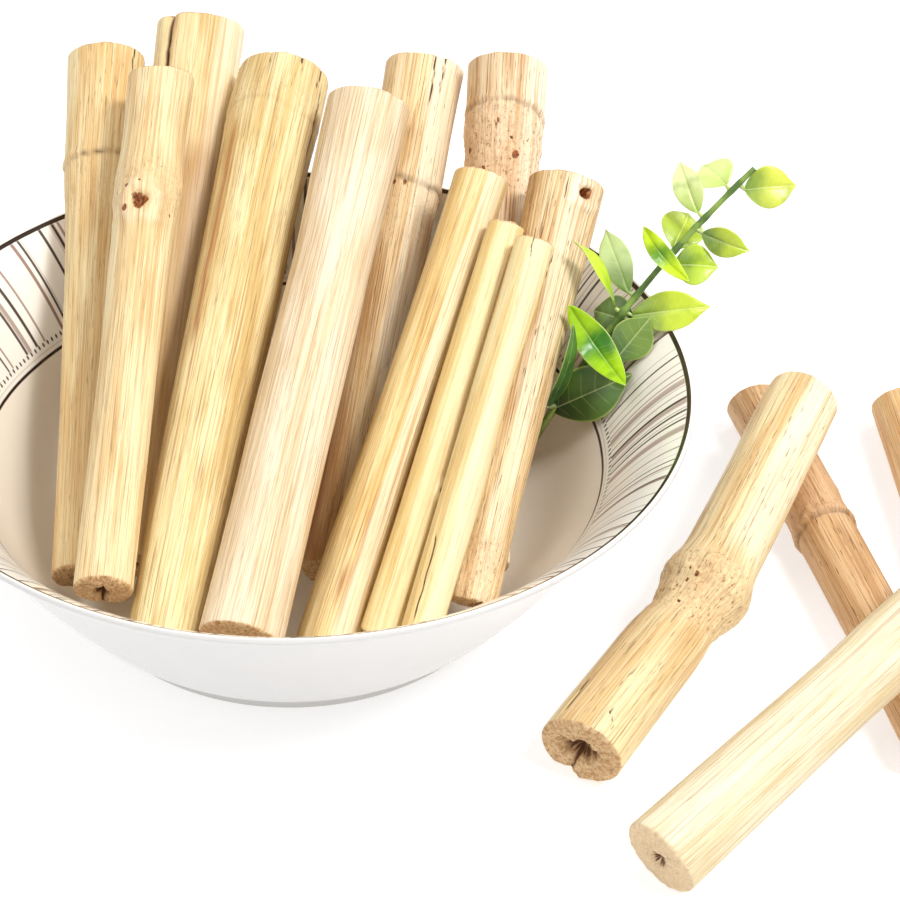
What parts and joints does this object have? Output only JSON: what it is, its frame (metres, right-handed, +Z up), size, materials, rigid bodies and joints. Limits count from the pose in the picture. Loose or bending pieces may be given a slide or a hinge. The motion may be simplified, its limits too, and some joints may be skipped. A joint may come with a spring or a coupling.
{
  "type": "bowl of sugarcane sticks",
  "caption": "Dried cut sugarcane sticks leaning in a glazed bowl with a leafy sprig, more sticks lying beside it.",
  "frame": {"origin": "on the table under the middle of the whole group", "axes": "+Z up from the table, -Y towards the side the low ends of the canes face, +X towards the loose canes"},
  "size_m": [0.2248, 0.1908, 0.0795],
  "materials": {
    "white_glaze": "glossy white glaze with printed hairlines on a cream inside",
    "dried_cane": "matte fibrous dried cane, brown fibrous cut ends",
    "stem_green": "satin green stem",
    "leaf_green": "waxy leaves, dark green at the base to yellow-green at the tip"
  },
  "bodies": {
    "root": {"bowl": "white_glaze", "bowl_cane_back_left": "dried_cane", "bowl_cane_back_right": "dried_cane", "bowl_cane_back_middle": "dried_cane", "bowl_cane_far_left": "dried_cane", "bowl_cane_thick": "dried_cane", "bowl_cane_right": "dried_cane", "bowl_cane_bud": "dried_cane", "bowl_cane_pale": "dried_cane", "bowl_cane_slim": "dried_cane", "bowl_cane_thin_left": "dried_cane", "bowl_cane_thin_right": "dried_cane", "loose_cane_front": "dried_cane", "loose_cane_dark": "dried_cane", "loose_cane_across": "dried_cane", "loose_cane_end": "dried_cane", "sprig_stem": "stem_green", "leaf_01_tip": "leaf_green", "leaf_02": "leaf_green", "leaf_03": "leaf_green", "leaf_04": "leaf_green", "leaf_05": "leaf_green", "leaf_06": "leaf_green", "leaf_07": "leaf_green", "leaf_08": "leaf_green", "leaf_09": "leaf_green", "leaf_10": "leaf_green", "leaf_11": "leaf_green", "leaf_12": "leaf_green", "leaf_13": "leaf_green", "leaf_14": "leaf_green", "leaf_15": "leaf_green", "leaf_16": "leaf_green", "leaf_17": "leaf_green"}
  },
  "joints": []
}
